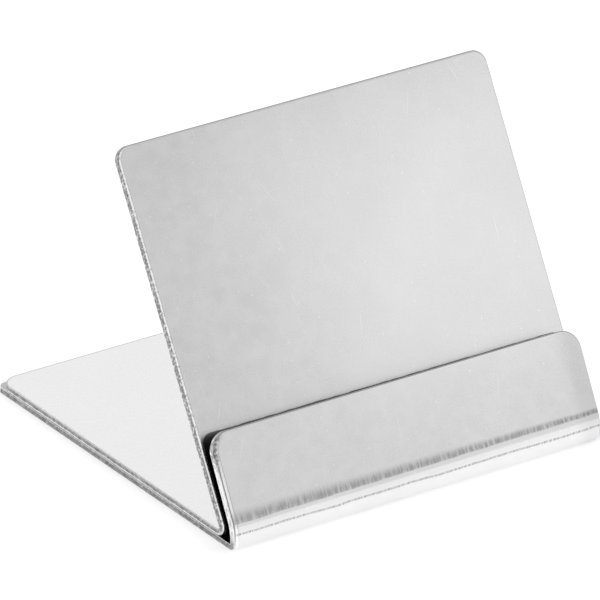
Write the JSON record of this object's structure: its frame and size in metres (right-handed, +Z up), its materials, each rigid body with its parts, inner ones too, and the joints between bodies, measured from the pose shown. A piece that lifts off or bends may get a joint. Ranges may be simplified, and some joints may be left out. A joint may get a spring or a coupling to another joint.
{
  "type": "place card holder",
  "caption": "Free-standing table card holder bent from stainless sheet: a leaning back plate and a low front lip form a narrow slot that a card stands in.",
  "frame": {"origin": "on the table, under the middle of the holder's footprint", "axes": "+X along the card slot, -Y to the front where the lip is, +Z up"},
  "size_m": [0.0636, 0.0636, 0.0515],
  "materials": {
    "rest_sheet": "cold-rolled stainless sheet, satin, with sheared cut edges",
    "clip_sheet": "cold-rolled stainless sheet, satin, with sheared cut edges and press marks along the bend",
    "weld_metal": "resistance weld nugget, dull"
  },
  "bodies": {
    "root": {"back_rest": "rest_sheet", "front_clip": "clip_sheet", "spot_welds": "weld_metal"}
  },
  "joints": []
}
